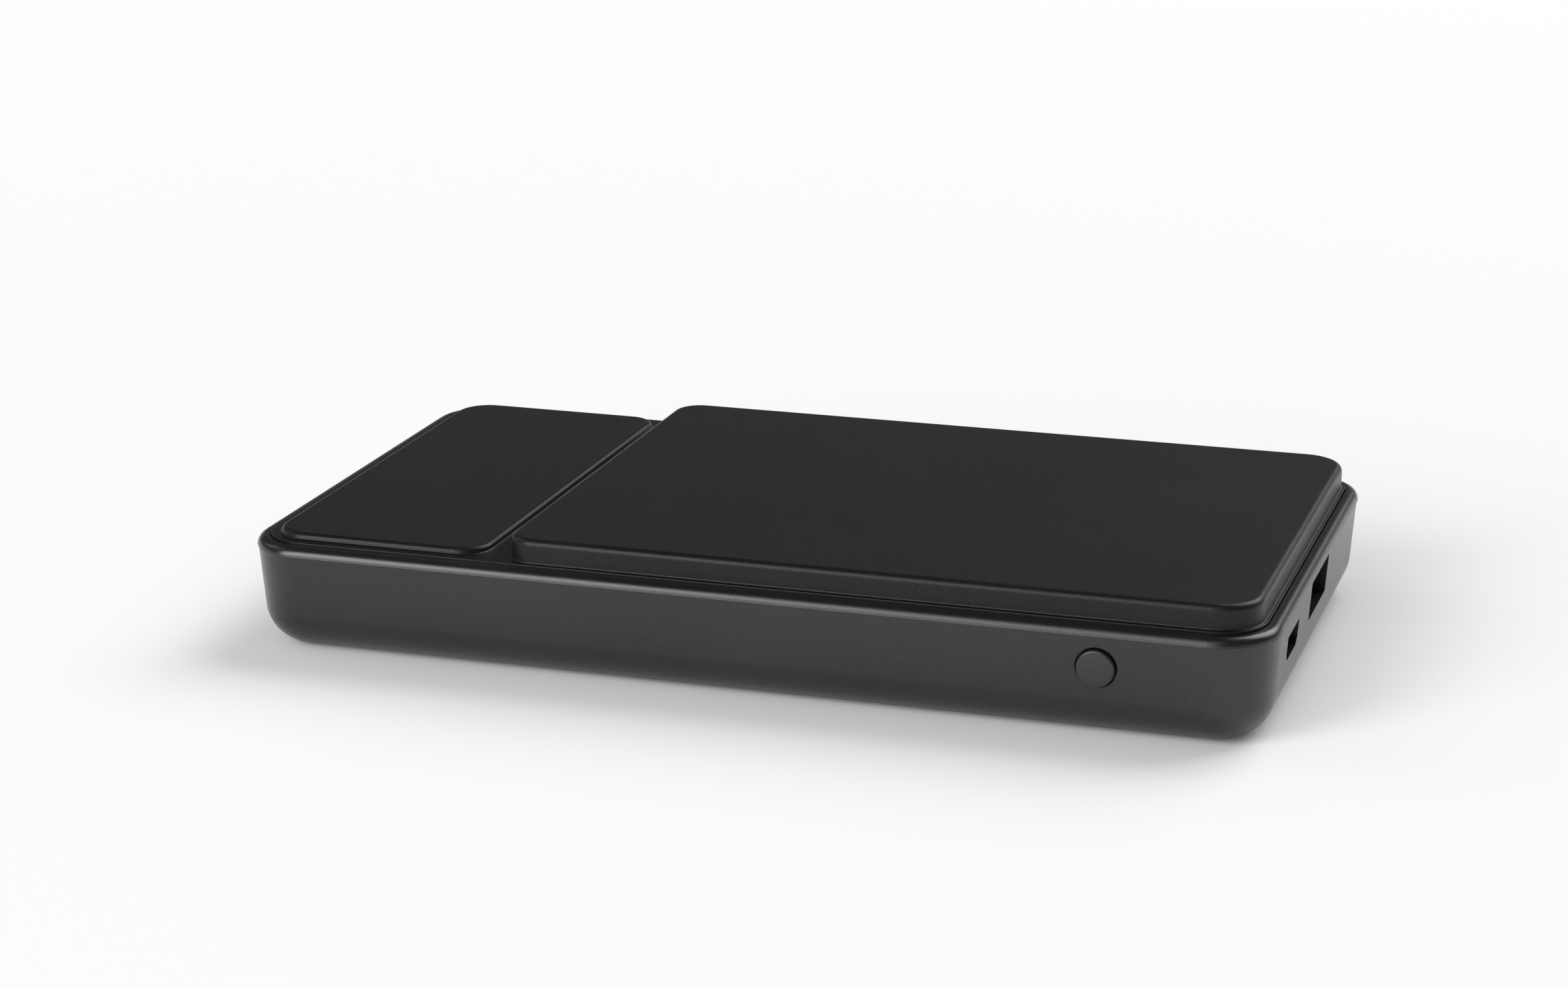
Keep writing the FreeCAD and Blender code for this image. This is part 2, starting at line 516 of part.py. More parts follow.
solid = round_edges(lid, solid, "dims.foot_round", lambda box: on_deck(box) and at_foot(box))
solid = round_edges(lid, solid, "dims.deck_edge", lambda box: on_deck(box) and not at_foot(box))
tall_hollow = sketch_on(lid, "platform_hollow", "XY_Plane", lid_bottom, x=coil_x)
draw_round_box(tall_hollow, f"{platform_right} - {platform_left} - 2 * dims.lid_wall",
               f"dims.width - 2 * {platform_inset} - 2 * dims.lid_wall",
               "dims.platform_corner - dims.lid_wall",
               f"dims.corner_round - {platform_inset} - dims.lid_wall")
feature(lid, "Pocket", tall_hollow, f"{coil_ceiling} - {lid_bottom}", backwards=True)
low_hollow = sketch_on(lid, "low_hollow", "XY_Plane", lid_bottom, x=f"({low_left} + {low_right}) / 2")
draw_round_box(low_hollow, f"{low_right} - {low_left} - 2 * dims.lid_wall",
               f"dims.width - 2 * {low_inset} - 2 * dims.lid_wall",
               f"dims.corner_round - {low_inset} - dims.lid_wall",
               "dims.platform_corner - dims.lid_wall")
feature(lid, "Pocket", low_hollow, f"{low_top} - dims.lid_wall - {lid_bottom}", backwards=True)

# Lid tape: a flat adhesive frame between the web and the lid
tape = new_body("lid_tape")
tape_ring = sketch_on(tape, "lid_tape_outline", "XY_Plane", web_top)
for inset in (f"({lid_inset} + dims.fit_gap)", f"({platform_inset} + dims.lid_wall - dims.fit_gap)"):
    draw_round_box(tape_ring, f"dims.length - 2 * {inset}", f"dims.width - 2 * {inset}",
                   f"dims.corner_round - {inset}")
feature(tape, "Pad", tape_ring, "dims.tape")

# Power button: a domed cap that stands out of the wall, a flange behind the wall and a stem to the switch,
# as a profile turned round the button's axis
button = new_body("power_button")
profile = sketch_on(button, "button_profile", "XY_Plane", button_z, x=button_x)
button_face = f"({button_wall} - dims.button_proud)"
dome_middle = f"({button_face} + sqrt(dims.button_dome^2 - (dims.button_flat / 2)^2))"
dome_edge = f"({dome_middle} - sqrt(dims.button_dome^2 - (dims.button_size / 2)^2))"
flange_back = f"({button_seat} + dims.button_flange_thick)"
steps = [("dims.button_size / 2", dome_edge), ("dims.button_size / 2", button_seat),
         ("dims.button_flange / 2", button_seat), ("dims.button_flange / 2", flange_back),
         ("dims.button_stem / 2", flange_back), ("dims.button_stem / 2", stem_back),
         ("0", stem_back), ("0", button_face), ("dims.button_flat / 2", button_face)]
corners = [Vector(value(x), value(y), 0) for x, y in steps]
for start, end in zip(corners, corners[1:]):
    profile.addGeometry(Part.LineSegment(start, end), False)
middle = Vector(0, value(dome_middle), 0)
lowest = FreeCAD.Units.Quantity("270 deg").getValueAs("rad").Value
slopes = [(corner - middle).getAngle(Vector(0, -1, 0)) for corner in (corners[-1], corners[0])]
dome = Part.Circle(middle, Vector(0, 0, 1), value("dims.button_dome"))
arc = profile.addGeometry(Part.ArcOfCircle(dome, lowest + slopes[0], lowest + slopes[1]), False)
last = len(steps) - 2
for number in range(last):
    profile.addConstraint(Sketcher.Constraint("Coincident", number, 2, number + 1, 1))
profile.addConstraint(Sketcher.Constraint("Coincident", last, 2, arc, 1))
profile.addConstraint(Sketcher.Constraint("Coincident", arc, 2, 0, 1))
profile.addConstraint(Sketcher.Constraint("PointOnObject", arc, 3, -2))
for number, (x, y) in enumerate(steps[:-1]):
    if number:
        hold(profile, "DistanceY", (-1, 1), (number, 1), y)
    hold(profile, "DistanceX", (-1, 1), (number, 1), x)
hold(profile, "DistanceY", (-1, 1), (last, 2), button_face)
hold(profile, "DistanceX", (-1, 1), (last, 2), "dims.button_flat / 2")
dome_radius = profile.addConstraint(Sketcher.Constraint("Radius", arc, value("dims.button_dome")))
profile.setExpression(f"Constraints[{dome_radius}]", "dims.button_dome")
turned = button.newObject("PartDesign::Revolution", "button_turned")
turned.Profile = profile
turned.ReferenceAxis = (profile, ["V_Axis"])
turned.Angle = 360
doc.recompute()
rim_of_cap = value(dome_edge)
round_edges(button, turned, "dims.button_edge",
            lambda box: abs(box.YMin - rim_of_cap) < 0.01 and box.YLength < 0.01)

# Switch: a body on the board and the plunger that the button's stem pushes
plunger = box("switch_plunger",
              (f"({button_x} - dims.plunger_width / 2)", f"({button_x} + dims.plunger_width / 2)"),
              (stem_back, f"({stem_back} + dims.plunger_length)"),
              (f"({button_z} - dims.plunger_height / 2)", f"({button_z} + dims.plunger_height / 2)"))
slot_x = "(dims.plunger_width / 2 + dims.fit_gap)"
slot_z = "(dims.plunger_height / 2 + dims.fit_gap)"
slot_back = f"({stem_back} + dims.plunger_length + dims.button_travel + dims.fit_gap)"
switch_block = box("switch_block",
                   (f"({button_x} - dims.switch_length / 2)", f"({button_x} + dims.switch_length / 2)"),
                   (switch_front, f"({switch_front} + dims.switch_depth)"),
                   (board_top, f"({button_z} + dims.switch_axis_rise)"))
switch_slot = box("switch_slot", (f"({button_x} - {slot_x})", f"({button_x} + {slot_x})"),
                  (switch_front, slot_back),
                  (f"({button_z} - {slot_z})", f"({button_z} + {slot_z})"))
switch = less("switch_body", switch_block, [switch_slot])

# Main board: notched at its right corners for the screw bosses and at the output connector, on four posts
board_z = (board_bottom, board_top)
board_block = box("board_block", (board_left, board_right), (f"-{board_front}", board_front), board_z)
boss_notch = f"({screw_x} - dims.boss_size / 2 - dims.board_margin)"
boss_side = f"({screw_y} - dims.boss_size / 2 - dims.board_margin)"
notch_x = boss_notch, half_length
notch_front = box("board_notch_front", notch_x, (f"-{half_width}", f"-{boss_side}"), board_z)
notch_back = box("board_notch_back", notch_x, (boss_side, half_width), board_z)
output_back = f"({port_front} - dims.output_deep)"
sink_side = "(dims.output_wide / 2 + dims.fit_gap)"
notch_output = box("board_notch_output", (f"({output_back} - dims.fit_gap)", half_length),
                   (f"-{sink_side}", sink_side), board_z)
board_hole = "(dims.board_screw + dims.fit_gap)"
board_holes = [cylinder(f"board_hole_{number}", board_hole, x, y, board_bottom, "dims.board_thick")
               for number, (x, y) in enumerate(posts)]
board = less("main_board", board_block, [notch_front, notch_back, notch_output] + board_holes)

# Input connector: a metal sleeve with cut lower corners, a thin tongue and its contacts
input_back = f"({port_front} - dims.input_deep)"


def input_outline(sketch, shrink):
    """The input connector's outline, made smaller all round by an expression."""
    a = f"(dims.input_wide / 2 - {shrink})"
    b = f"(dims.input_high / 2 - {shrink})"
    cut_corner = f"(dims.input_cut - {shrink} / 2)"
    draw_polygon(sketch, [(f"-{a} + {cut_corner}", f"-{b}"), (f"{a} - {cut_corner}", f"-{b}"),
                          (a, f"-{b} + {cut_corner}"), (a, b), (f"-{a}", b),
                          (f"-{a}", f"-{b} + {cut_corner}")])


input_shell = new_body("input_port_shell")
sleeve = sketch_on(input_shell, "input_sleeve", "YZ_Plane", port_front, x=input_y, y=port_axis)
input_outline(sleeve, "0")
feature(input_shell, "Pad", sleeve, "dims.input_deep", backwards=True)
mouth = sketch_on(input_shell, "input_mouth", "YZ_Plane", port_front, x=input_y, y=port_axis)
input_outline(mouth, "dims.connector_sheet")
feature(input_shell, "Pocket", mouth, "dims.input_deep - dims.connector_sheet")
tongue_half = "(dims.input_wide / 4)"
input_tongue_z = (port_axis, f"({port_axis} + dims.input_tongue_thick)")
input_tongue_x = (f"({input_back} + dims.connector_sheet)", f"({port_front} - dims.tongue_setback)")
input_tongue = box("input_port_tongue", input_tongue_x,
                   (f"({input_y} - {tongue_half})", f"({input_y} + {tongue_half})"), input_tongue_z)
contact_wide = "(dims.input_wide / 18)"
input_pins = [box(f"input_pin_{number}", input_tongue_x,
                  (f"({input_y} + ({number} - 2.5) * dims.input_wide / 11)",
                   f"({input_y} + ({number} - 2.5) * dims.input_wide / 11 + {contact_wide})"),
                  (f"({port_axis} - dims.contact_thick)", port_axis)) for number in range(5)]
input_contacts = group("input_port_contacts", input_pins)

# Output connector: a wide metal sleeve sunk into the board's notch, held by soldered ears, with its tongue
output_shell_body = new_body("output_sleeve")
sleeve = sketch_on(output_shell_body, "output_outline", "YZ_Plane", port_front, y=output_axis)
draw_round_box(sleeve, "dims.output_wide", "dims.output_high", "dims.connector_sheet * 2")
feature(output_shell_body, "Pad", sleeve, "dims.output_deep", backwards=True)
mouth = sketch_on(output_shell_body, "output_mouth", "YZ_Plane", port_front, y=output_axis)
draw_round_box(mouth, "dims.output_wide - 2 * dims.connector_sheet",
               "dims.output_high - 2 * dims.connector_sheet", "dims.connector_sheet")
feature(output_shell_body, "Pocket", mouth, "dims.output_deep - dims.connector_sheet")
ear_start = f"({output_back} + dims.output_deep / 3)"
ear_x = ear_start, f"({ear_start} + 2 * dims.output_ear)"
ear_z = board_top, f"({board_top} + dims.connector_sheet)"
ear_y = "(dims.output_wide / 2 - dims.connector_sheet / 2)", f"({sink_side} + dims.output_ear)"
ear_front = box("output_ear_front", ear_x, (f"-{ear_y[1]}", f"-{ear_y[0]}"), ear_z)
ear_rear = box("output_ear_back", ear_x, ear_y, ear_z)
output_shell = joined("output_port_shell", [output_shell_body, ear_front, ear_rear])
tongue_top = f"({output_axis} + dims.output_high / 2 - dims.connector_sheet - dims.contact_thick * 4)"
tongue_bottom = f"({tongue_top} - dims.output_tongue_thick)"
tongue_x = f"({output_back} + dims.connector_sheet)", f"({port_front} - dims.tongue_setback)"
tongue_half = "(dims.output_wide / 2 - dims.connector_sheet * 3)"
tongue_z = tongue_bottom, tongue_top
output_tongue = box("output_port_tongue", tongue_x, (f"-{tongue_half}", tongue_half), tongue_z)
pin_pitch = "(dims.output_wide / 6)"
output_pins = [box(f"output_pin_{number}", tongue_x,
                   (f"(({number} - 1.75) * {pin_pitch})", f"(({number} - 1.25) * {pin_pitch})"),
                   (f"({tongue_bottom} - dims.contact_thick)", tongue_bottom)) for number in range(4)]
output_contacts = group("output_port_contacts", output_pins)

# Parts on the board: a coil of the converter, three chips and a row of capacitors
part_x = f"({lead_x} + dims.lead_spacing)"


def on_board(name, x, y, size, high):
    """A part of a square or oblong plan that stands on the board, by its middle."""
    across_x = (f"({x} - {size[0]} / 2)", f"({x} + {size[0]} / 2)")
    across_y = (f"({y} - {size[1]} / 2)", f"({y} + {size[1]} / 2)")
    return box(name, across_x, across_y, (board_top, f"({board_top} + {high})"))


inductor_plan = "dims.inductor_size", "dims.inductor_size"
chip_plan = "dims.chip_size", "dims.chip_size"
inductor_block = on_board("inductor_block", lead_x, "dims.output_wide", inductor_plan,
                          "dims.inductor_height")
inductor = rounded("power_inductor", inductor_block, "dims.foot_round * 4", lambda middle: True)
chip_x = f"({part_x} + dims.lead_spacing)"
charge_chip = on_board("charge_chip", lead_x, "-dims.output_wide", chip_plan, "dims.chip_thick")
output_chip = on_board("output_chip", chip_x, "dims.output_wide", chip_plan, "(dims.chip_thick * 1.6)")
coil_chip = on_board("coil_chip", chip_x, "-dims.output_wide", chip_plan, "dims.chip_thick")
capacitor_plan = "dims.capacitor_size", "dims.capacitor_length"
capacitor_row = [on_board(f"capacitor_{number}", f"({lead_x} + {number} * dims.lead_spacing * 0.6)",
                          "dims.output_wide * 1.6", capacitor_plan, "dims.capacitor_size")
                 for number in range(5)]
capacitors = group("board_capacitors", capacitor_row)

# Battery: two pouch cells with a sealed edge, side by side on foam pads, a protection board on the sealed
# edges, straps to the main board and an insulation sheet on top
seal_top = f"({board_bottom})"


def pouch(name, y_low, y_high):
    """A soft-cornered cell between two places across the bank, with its sealed edge to the right."""
    core = box(f"{name}_core", (cell_left, cell_right), (y_low, y_high), (pad_top, cell_top))
    soft = rounded(f"{name}_soft", core, "dims.cell_round", lambda middle: True)
    seal = box(f"{name}_seal", (f"({cell_right} - dims.cell_seal)", f"({cell_right} + dims.cell_seal)"),
               (f"({y_low} + dims.cell_round)", f"({y_high} - dims.cell_round)"),
               (f"({seal_top} - dims.cell_seal_thick)", seal_top))
    return joined(name, [soft, seal])


inner, outer = "(dims.cell_gap / 2)", f"(dims.cell_gap / 2 + {cell_width})"
cell_front = pouch("battery_cell_front", f"-{outer}", f"-{inner}")
cell_back = pouch("battery_cell_back", inner, outer)
guard_half = f"({cell_width} - dims.cell_round * 2)"
guard = box("protection_board", (f"({cell_right} + dims.fit_gap)", f"({cell_right} + dims.cell_seal)"),
            (f"-{guard_half}", guard_half), board_z)
strap_x = f"({cell_right} + dims.cell_seal / 3)", f"({board_left} + dims.cell_seal)"
straps = group("battery_straps", [
    box(f"battery_strap_{side}", strap_x,
        (f"({middle} - dims.plunger_width / 2)", f"({middle} + dims.plunger_width / 2)"),
        (board_top, f"({board_top} + dims.contact_thick)"))
    for side, middle in (("front", f"(-{cell_width} / 2)"), ("back", f"({cell_width} / 2)"))])
pads = group("battery_pads", [
    box(f"battery_pad_{side}", (f"({cell_left} + dims.pad_margin)", f"({cell_right} - dims.pad_margin)"),
        places, (floor_top, pad_top))
    for side, places in (("front", (f"(dims.pad_margin - {outer})", f"(-{inner} - dims.pad_margin)")),
                         ("back", (f"({inner} + dims.pad_margin)", f"({outer} - dims.pad_margin)")))])
insulation = box("insulation_sheet",
                 (f"({cell_left} + dims.cell_round)", f"({cell_right} - dims.cell_round)"),
                 (f"(dims.cell_round - {outer})", f"({outer} - dims.cell_round)"),
                 (cell_top, f"({cell_top} + dims.sheet_thick)"))

# Charging coil: a flat winding taped under the platform's top, a shield behind it and two wires that run
# down to the board
tape_bottom = f"({coil_ceiling} - dims.tape)"
coil_bottom = f"({tape_bottom} - dims.coil_thick)"


def flat_ring(name, low, high):
    """A ring of the coil's size between two heights."""
    disc = cylinder(f"{name}_disc", "dims.coil_outer", coil_x, "0", low, f"{high} - {low}")
    eye = cylinder(f"{name}_eye", "dims.coil_inner", coil_x, "0", low, f"{high} - {low}")
    return less(name, disc, [eye])


coil_tape = flat_ring("coil_tape", tape_bottom, coil_ceiling)
coil = flat_ring("charging_coil", coil_bottom, tape_bottom)
ferrite_bottom = f"({coil_bottom} - dims.ferrite_thick)"
ferrite = cylinder("ferrite_plate", "dims.ferrite_size", coil_x, "0", ferrite_bottom, "dims.ferrite_thick")
wire_z = f"({tape_bottom} - dims.coil_thick / 2)"
wire_turn = f"({coil_x} + dims.ferrite_size / 2 + dims.lead_size / 2)"
wire_start = f"({coil_x} + sqrt((dims.coil_outer / 2)^2 - (dims.lead_spacing / 2 - dims.lead_size / 2)^2))"


def coil_wire(name, y):
    """A wire that leaves the coil, turns down beside the shield and ends on the board."""
    level_run = cylinder(f"{name}_level", "dims.lead_size", wire_start, y, wire_z,
                         f"{wire_turn} - {wire_start}", Vector(1, 0, 0))
    turn = doc.addObject("Part::Torus", f"{name}_turn")
    turn.Angle3 = 90
    turn.Placement.Rotation = Rotation(Vector(1, 0, 0), 90)
    bind(turn, Radius1="dims.lead_bend", Radius2="dims.lead_size / 2")
    put(turn, wire_turn, y, f"{wire_z} - dims.lead_bend")
    drop = cylinder(f"{name}_drop", "dims.lead_size", f"{wire_turn} + dims.lead_bend", y, board_top,
                    f"{wire_z} - dims.lead_bend - {board_top}")
    return joined(name, [level_run, turn, drop])


coil_leads = group("coil_leads", [coil_wire("coil_lead_front", "-dims.lead_spacing / 2"),
                                  coil_wire("coil_lead_back", "dims.lead_spacing / 2")])

# Solar panel: backing board, a row of cell strips and a clear cover, taped into the recess, with two wires
panel_cells_x = f"({panel_length} - 2 * dims.panel_border)"
strip = f"(({panel_cells_x} + dims.panel_cell_gap) / dims.panel_cell_count)"
strip_side = f"({panel_width} / 2 - dims.panel_border)"


def panel_sheet(name, low, thick):
    """A round-cornered sheet of the panel's size."""
    body = new_body(name)
    sketch = sketch_on(body, f"{name}_outline", "XY_Plane", low)
    draw_round_box(sketch, panel_length, panel_width, "dims.panel_corner")
    feature(body, "Pad", sketch, thick)
    return body


cover = panel_sheet("solar_cover", "dims.panel_sunk", "dims.panel_cover")
panel_board = panel_sheet("solar_board", panel_board_bottom, f"{panel_tape_bottom} - {panel_board_bottom}")
strip_z = "(dims.panel_sunk + dims.panel_cover)", panel_board_bottom
strips = [box(f"solar_strip_{number}",
              (f"({number} * {strip} - {panel_cells_x} / 2)",
               f"(({number} + 1) * {strip} - dims.panel_cell_gap - {panel_cells_x} / 2)"),
              (f"-{strip_side}", strip_side), strip_z)
          for number in range(round(value("dims.panel_cell_count")))]
solar_cells = group("solar_cells", strips)
panel_tape = new_body("solar_tape")
tape_ring = sketch_on(panel_tape, "solar_tape_outline", "XY_Plane", panel_tape_bottom)
for inset in ("0", "2 * dims.panel_tape_width"):
    draw_round_box(tape_ring, f"{panel_length} - {inset}", f"{panel_width} - {inset}", "dims.panel_corner")
feature(panel_tape, "Pad", tape_ring, "dims.tape")
lead_length = f"{board_bottom} - {panel_tape_bottom}"
solar_leads = group("solar_leads", [
    cylinder(f"solar_lead_{number}", "dims.lead_size", x, y, panel_tape_bottom, lead_length)
    for number, (x, y) in enumerate(lead_places)])

# Screws: four that hold the frame to the pan and four that hold the board to its posts


def screw(name, x, y, top, shank, length, head, head_thick):
    """A screw with a flat round head on a level."""
    cap = cylinder(f"{name}_head", head, x, y, top, head_thick)
    rod = cylinder(f"{name}_shank", shank, x, y, f"{top} - {length}", length)
    return joined(name, [cap, rod])


head_level = f"({web_top} - dims.screw_head_thick - dims.fit_gap)"
case_screws = group("case_screws", [
    screw(f"case_screw_{number}", x, y, head_level, "dims.case_screw", "dims.case_screw_length",
          "dims.screw_head", "dims.screw_head_thick") for number, (x, y) in enumerate(corner_screws)])
board_screws = group("board_screws", [
    screw(f"board_screw_{number}", x, y, board_top, "dims.board_screw", "(dims.board_thick * 3)",
          "(dims.board_screw * 2)", "(dims.board_thick * 0.7)") for number, (x, y) in enumerate(posts)])

pieces = [shell, frame, lid, tape, button, plunger, switch, board]
pieces += [input_shell, input_tongue, input_contacts, output_shell, output_tongue, output_contacts]
pieces += [inductor, charge_chip, output_chip, coil_chip, capacitors]
pieces += [cell_front, cell_back, guard, straps, pads, insulation, coil, coil_tape, ferrite, coil_leads]
pieces += [cover, panel_board, solar_cells, panel_tape, solar_leads, case_screws, board_screws]
for piece in pieces:
    piece.Label = piece.Name
doc.recompute()

# Every object is sound before anything is written
for item in doc.Objects:
    if "Invalid" in item.State or "Error" in item.State:
        raise RuntimeError(f"{item.Name} did not build: {item.State}")
for piece in pieces:
    if piece.Shape.isNull() or not piece.Shape.isValid():
        raise RuntimeError(f"{piece.Label} has no valid shape")
os.makedirs("parts", exist_ok=True)
for piece in pieces:
    piece.Shape.exportStep(f"parts/{piece.Label}.step")
    print(piece.Label, len(piece.Shape.Solids), round(piece.Shape.Volume, 1))
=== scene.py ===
import math

import bpy
import numpy as np
from mathutils import Matrix, Vector


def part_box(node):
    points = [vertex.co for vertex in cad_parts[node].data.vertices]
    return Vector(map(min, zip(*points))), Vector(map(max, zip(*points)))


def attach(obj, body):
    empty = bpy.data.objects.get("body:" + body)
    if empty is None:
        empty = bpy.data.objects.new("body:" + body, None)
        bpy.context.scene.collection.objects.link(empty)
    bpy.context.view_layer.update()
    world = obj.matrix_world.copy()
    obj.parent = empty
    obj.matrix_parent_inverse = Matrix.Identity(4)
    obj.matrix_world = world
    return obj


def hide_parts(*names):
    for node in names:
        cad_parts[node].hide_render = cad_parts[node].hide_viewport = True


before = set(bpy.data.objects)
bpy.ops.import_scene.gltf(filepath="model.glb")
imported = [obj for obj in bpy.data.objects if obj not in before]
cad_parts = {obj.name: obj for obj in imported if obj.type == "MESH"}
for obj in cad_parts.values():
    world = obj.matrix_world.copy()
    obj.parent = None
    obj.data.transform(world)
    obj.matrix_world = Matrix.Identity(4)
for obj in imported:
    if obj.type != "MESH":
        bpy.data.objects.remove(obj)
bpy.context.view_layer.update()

# Case
# A deep pan, a round-edged rim and a lid with two platforms, all moulded in black ABS with a fine
# spark-eroded grain and a soft-touch coat. The rim is screwed to the pan and the lid is taped into the rim.
micron = 0.000001


def node(tree, kind, links=(), **settings):
    """A node with its own settings. Links are pairs of an input and what feeds it, a socket or a value."""
    made = tree.nodes.new(kind)
    for setting, given in settings.items():
        setattr(made, setting, given)
    for socket, source in links:
        if isinstance(source, bpy.types.NodeSocket):
            tree.links.new(source, made.inputs[socket])
        else:
            made.inputs[socket].default_value = source
    return made


def feed(target, socket, source):
    """Links a socket to a named input of a shader or an end node."""
    target.id_data.links.new(source, target.inputs[socket])


def maths(tree, operation, first, second=0.0):
    """One operation on one or two values."""
    return node(tree, "ShaderNodeMath", [(0, first), (1, second)], operation=operation).outputs["Value"]


def spread(tree, source, low, high, to_low=0.0, to_high=1.0):
    """A value carried from one range to another, held at both ends."""
    links = [("Value", source), ("From Min", low), ("From Max", high), ("To Min", to_low),
             ("To Max", to_high)]
    return node(tree, "ShaderNodeMapRange", links).outputs["Result"]


def noise(tree, place, scale, detail, roughness=0.5, distortion=0.0):
    """Cloudy noise from 0 to 1, its scale in features per metre."""
    links = [("Vector", place), ("Scale", scale), ("Detail", detail), ("Roughness", roughness),
             ("Distortion", distortion)]
    return node(tree, "ShaderNodeTexNoise", links).outputs["Fac"]


def contrast(tree, cloudy, to_low=0.0, to_high=1.0, low=0.3, high=0.7):
    """The middle of a noise, from low to high, where most of it lies, carried over a whole range."""
    return spread(tree, cloudy, low, high, to_low, to_high)


def tint(tree, factor, dark, light):
    """A colour between two, by a factor from 0 to 1; each of the two is plain or comes from a socket."""
    links = [("Factor", factor)]
    for socket, colour in (("A", dark), ("B", light)):
        plain = not isinstance(colour, bpy.types.NodeSocket)
        links.append((socket, (*colour, 1.0) if plain else colour))
    return node(tree, "ShaderNodeMix", links, data_type="RGBA").outputs["Result"]


def bump(tree, shader, height, depth, strength):
    """A height from 0 to 1, as deep as the depth in metres, given to the shader as a bump."""
    made = node(tree, "ShaderNodeBump", [("Height", height), ("Distance", depth), ("Strength", strength)])
    feed(shader, "Normal", made.outputs["Normal"])


def finish(name, roughness, metallic=0.0):
    """A material with its Principled shader and its Object coordinates: material, tree, shader, place."""
    made = bpy.data.materials.new(name)
    made.use_nodes = True
    shader = made.node_tree.nodes["Principled BSDF"]
    shader.inputs["Roughness"].default_value = roughness
    shader.inputs["Metallic"].default_value = metallic
    place = node(made.node_tree, "ShaderNodeTexCoord").outputs["Object"]
    return made, made.node_tree, shader, place


def dress(material, *names):
    """Gives CAD nodes a material in place of their own."""
    for name in names:
        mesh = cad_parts[name].data
        mesh.materials.clear()
        mesh.materials.append(material)


def shader_group(name, inputs, outputs):
    """An empty node group with sockets by name and kind, and its two end nodes."""
    group = bpy.data.node_groups.new(name, "ShaderNodeTree")
    for socket, kind, default in inputs:
        made = group.interface.new_socket(socket, in_out="INPUT", socket_type=kind)
        if default is not None:
            made.default_value = default
    for socket, kind in outputs:
        group.interface.new_socket(socket, in_out="OUTPUT", socket_type=kind)
    return group, group.nodes.new("NodeGroupInput"), group.nodes.new("NodeGroupOutput")


# Moulded grain: fine pits from the tool's spark-eroded face, slow patches of tone from the coat and a few
# specks of dust. Grain, Patches and Dust are in features per metre. Only the cells whose random shade is
# high hold a speck, and its size is a share of its cell.
grain, ins, outs = shader_group(
    "moulded_grain",
    [("Place", "NodeSocketVector", None), ("Grain", "NodeSocketFloat", 4600.0),
     ("Patches", "NodeSocketFloat", 45.0), ("Dust", "NodeSocketFloat", 900.0)],
    [("Pits", "NodeSocketFloat"), ("Tone", "NodeSocketFloat"), ("Specks", "NodeSocketFloat")])
clean_below = 0.72
speck_core, speck_edge = 0.03, 0.05
spot = ins.outputs["Place"]
cells = node(grain, "ShaderNodeTexVoronoi", [("Vector", spot), ("Scale", ins.outputs["Dust"])])
dusty_cell = maths(grain, "GREATER_THAN", cells.outputs["Color"], clean_below)
near = spread(grain, cells.outputs["Distance"], speck_core, speck_edge, 1.0, 0.0)
feed(outs, "Pits", noise(grain, spot, ins.outputs["Grain"], detail=3.0, roughness=0.6))
feed(outs, "Tone", noise(grain, spot, ins.outputs["Patches"], detail=4.0, roughness=0.55))
feed(outs, "Specks", maths(grain, "MULTIPLY", dusty_cell, near))


def moulded(name, dark, light, roughness, pit_depth, shine=0.5):
    """Grained plastic: pits in bump and colour, patches in tone and gloss, dust specks in the colour."""
    patch_share = 0.3
    gloss_change = 0.015
    dust = (0.16, 0.16, 0.16)
    made, tree, shader, place = finish(name, roughness)
    shader.inputs["Specular IOR Level"].default_value = shine
    effect = node(tree, "ShaderNodeGroup", [("Place", place)], node_tree=grain)
    patchy = contrast(tree, effect.outputs["Tone"])
    fine = contrast(tree, effect.outputs["Pits"], low=0.35, high=0.65)
    uneven = node(tree, "ShaderNodeMix", [("Factor", patch_share), ("A", fine), ("B", patchy)])
    coat = tint(tree, uneven.outputs["Result"], dark, light)
    feed(shader, "Base Color", tint(tree, effect.outputs["Specks"], coat, dust))
    gloss = spread(tree, patchy, 0.0, 1.0, roughness - gloss_change, roughness + gloss_change)
    feed(shader, "Roughness", gloss)
    bump(tree, shader, effect.outputs["Pits"], pit_depth, strength=0.6)
    return made


dress(moulded("pan_grain", dark=(0.003, 0.003, 0.0031), light=(0.014, 0.014, 0.0142),
              roughness=0.26, pit_depth=50 * micron, shine=0.64), "lower_shell")
dress(moulded("rim_grain", dark=(0.003, 0.003, 0.0031), light=(0.012, 0.012, 0.0122),
              roughness=0.28, pit_depth=30 * micron, shine=0.68), "top_frame")
dress(moulded("lid_grain", dark=(0.002, 0.002, 0.0021), light=(0.01, 0.01, 0.0102),
              roughness=0.36, pit_depth=40 * micron, shine=0.3), "charging_lid")

# Push button
# A small domed cap moulded in the same black, with a finer grain than the pan. Its flange holds it behind
# the wall, and its stem reaches the switch.
dress(moulded("button_satin", dark=(0.006, 0.006, 0.0061), light=(0.02, 0.02, 0.0203),
              roughness=0.34, pit_depth=30 * micron, shine=0.6), "power_button")

# Connectors
# Two sleeves of tin-plated steel sheet, folded and soldered to the board, each with a moulded tongue that
# carries gold-plated contact strips.

